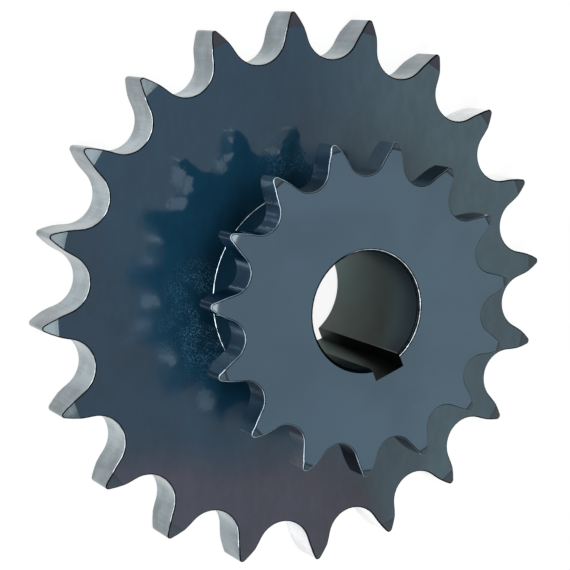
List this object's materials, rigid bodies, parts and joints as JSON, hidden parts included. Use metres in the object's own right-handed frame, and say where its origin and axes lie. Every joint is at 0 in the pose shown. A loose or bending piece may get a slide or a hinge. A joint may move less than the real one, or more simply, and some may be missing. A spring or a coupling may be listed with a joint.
{
  "type": "double chain sprocket",
  "caption": "Double chain sprocket: a large and a small toothed row on one short hub, with a keyed bore right through.",
  "frame": {"origin": "middle of the back face of the large row, on the shaft axis, where the part lies", "axes": "+Z along the shaft axis from the large row to the small row, +Y from the axis through the middle of the keyway"},
  "size_m": [0.173, 0.173, 0.0515],
  "materials": {
    "blackened_steel": "dark slate-blue blackened steel, oiled and glossy, with the teeth and the bore cut after the faces"
  },
  "bodies": {
    "root": {"double_sprocket": "blackened_steel"}
  },
  "joints": []
}
